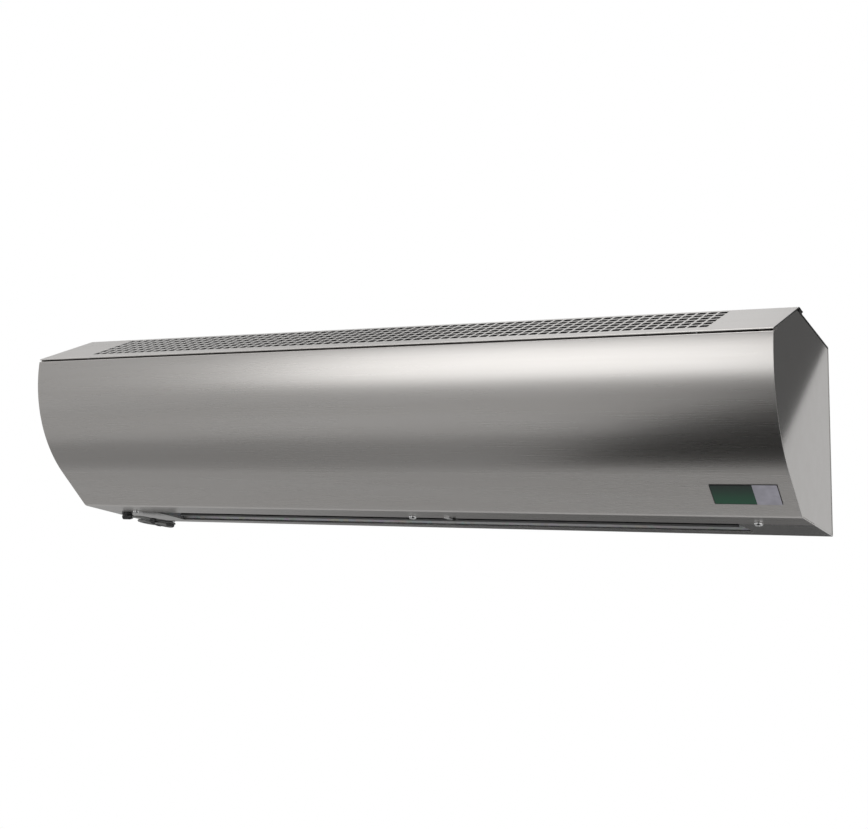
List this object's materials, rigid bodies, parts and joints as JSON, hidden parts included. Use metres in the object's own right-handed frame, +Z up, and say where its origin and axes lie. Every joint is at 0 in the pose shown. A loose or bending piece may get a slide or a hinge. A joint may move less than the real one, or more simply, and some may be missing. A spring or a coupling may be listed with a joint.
{
  "type": "air curtain",
  "caption": "Wall-mounted air curtain in a curved brushed-steel casing: slotted inlet on its sloping top, cross-flow wheel, outlet slot with a tilting vane in its floor, and a short tied lead.",
  "frame": {"origin": "middle of the flat of the back that lies on the wall", "axes": "+X along the unit to the right as seen from the room, -Y out of the wall towards the room, +Z up"},
  "size_m": [0.8, 0.1842, 0.2085],
  "materials": {
    "stainless": "brushed along its length",
    "galvanised": "matt zinc",
    "aluminium": "mill",
    "bright_steel": "polished",
    "rod_steel": "heat-dulled",
    "black_plastic": "satin",
    "cable": "satin",
    "rubber": "matt",
    "motor_paint": "satin",
    "board": "satin",
    "cream": "satin"
  },
  "bodies": {
    "casing": {"front_panel": "stainless", "top_panel": "stainless", "back_plate": "galvanised", "end_cap_left": "stainless", "end_cap_right": "stainless", "nozzle_front": "galvanised", "volute": "galvanised", "fan_side_left": "galvanised", "fan_side_right": "galvanised", "bearing": "bright_steel", "bearing_bush": "rubber", "bearing_bracket": "galvanised", "motor_bracket": "galvanised", "motor_body": "motor_paint", "motor_capacitor": "cream", "heating_rod_front": "rod_steel", "heating_rod_rear": "rod_steel", "thermal_cutout": "cream", "terminal_block": "cream", "control_board": "board", "cover_screw_1": "bright_steel", "cover_screw_2": "bright_steel", "cover_screw_3": "bright_steel", "strain_relief": "black_plastic", "lead_hank": "cable", "hank_tie": "black_plastic", "lead_plug": "black_plastic", "lead": "cable"},
    "rotor": {"wheel": "aluminium", "wheel_shaft": "bright_steel", "motor_shaft": "bright_steel"},
    "vane": {"outlet_vane": "aluminium"}
  },
  "joints": [
    {"name": "wheel_spin", "type": "hinge", "parent": "casing", "child": "rotor", "pos_m": [0, -0.092, 0.016], "axis": [1, 0, 0], "continuous": true},
    {"name": "vane_tilt", "type": "hinge", "parent": "casing", "child": "vane", "pos_m": [0, -0.03143, -0.06659], "axis": [1, 0, 0], "range_deg": [-30, 30]}
  ]
}
